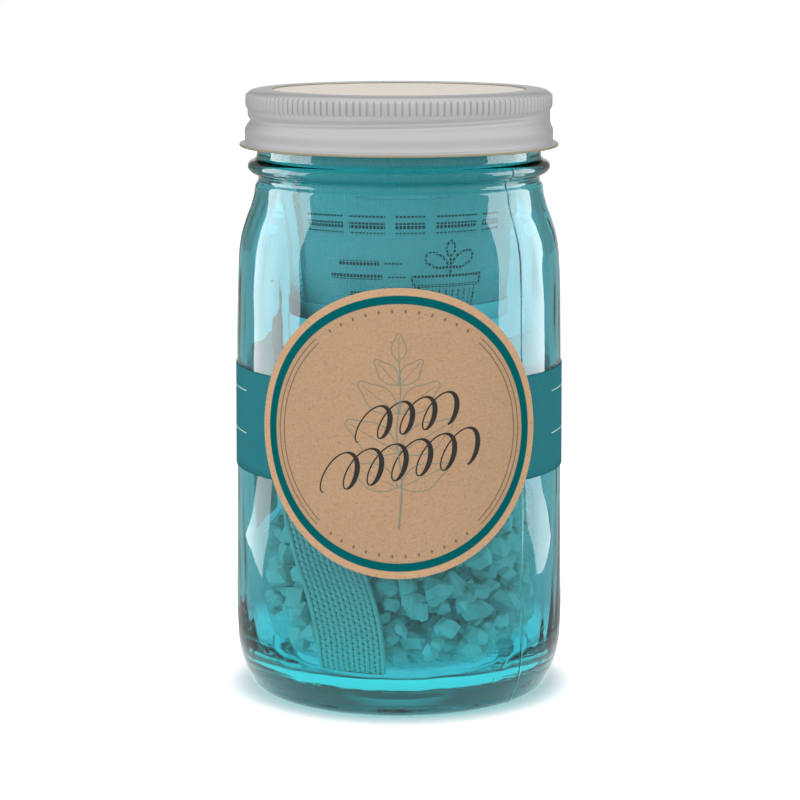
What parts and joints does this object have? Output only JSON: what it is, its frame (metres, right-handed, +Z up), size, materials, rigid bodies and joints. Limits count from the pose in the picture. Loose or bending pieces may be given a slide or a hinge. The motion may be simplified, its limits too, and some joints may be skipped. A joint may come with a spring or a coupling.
{
  "type": "hydroponic jar planter",
  "caption": "Wide-mouth glass jar planter with a screw band and lid disc, a lift-out steel net pot with a wick, growing supplies inside, a paper sleeve and a round card label.",
  "frame": {"origin": "middle of the foot ring that the jar stands on", "axes": "+Z up along the jar's axis, -Y to the label's front"},
  "size_m": [0.0966, 0.0971, 0.1768],
  "materials": {
    "jar_glass": "clear teal pressed glass",
    "band_tinplate": "satin rolled tinplate, gold lacquer inside",
    "lid_card": "pale matt card",
    "pot_steel": "pressed stainless strip",
    "pot_mesh": "fine woven stainless wire",
    "wick_knit": "knitted cotton strap",
    "sheet_paper": "plain paper",
    "bag_film": "clear film",
    "chip_stone": "rough crushed mineral",
    "charcoal_paper": "dark filter paper",
    "packet_paper": "plain folded paper",
    "sachet_foil": "pale laminated film",
    "sleeve_paper": "teal printed paper, two pale lines each side",
    "label_card": "brown card with a teal ring"
  },
  "bodies": {
    "jar": {"glass_jar": "jar_glass", "sleeve": "sleeve_paper", "round_label": "label_card", "medium_bag": "bag_film", "medium_chips": "chip_stone", "charcoal_sachet": "charcoal_paper", "seed_packet": "packet_paper", "plant_food_sachet": "sachet_foil"},
    "pot": {"pot_rim": "pot_steel", "pot_wall": "pot_mesh", "pot_base": "pot_mesh", "pot_foot_ring": "pot_steel", "pot_seam": "pot_steel", "wick": "wick_knit", "instruction_sheet": "sheet_paper"},
    "lid": {"lid_disc": "lid_card"},
    "band": {"screw_band": "band_tinplate"}
  },
  "joints": [
    {"name": "pot_lift", "type": "slide", "parent": "jar", "child": "pot", "axis": [0, 0, 1], "range_m": [0, 0.172]},
    {"name": "lid_rise", "type": "slide", "parent": "pot", "child": "lid", "axis": [0, 0, 1], "range_m": [0, 0.0178]},
    {"name": "band_turn", "type": "hinge", "parent": "lid", "child": "band", "pos_m": [0, 0, 0.168], "axis": [0, 0, 1], "range_deg": [0, 1260]}
  ],
  "couplings": [
    {"joint": "lid_rise", "follows": "band_turn", "m_per_rad": 0.00080851}
  ]
}
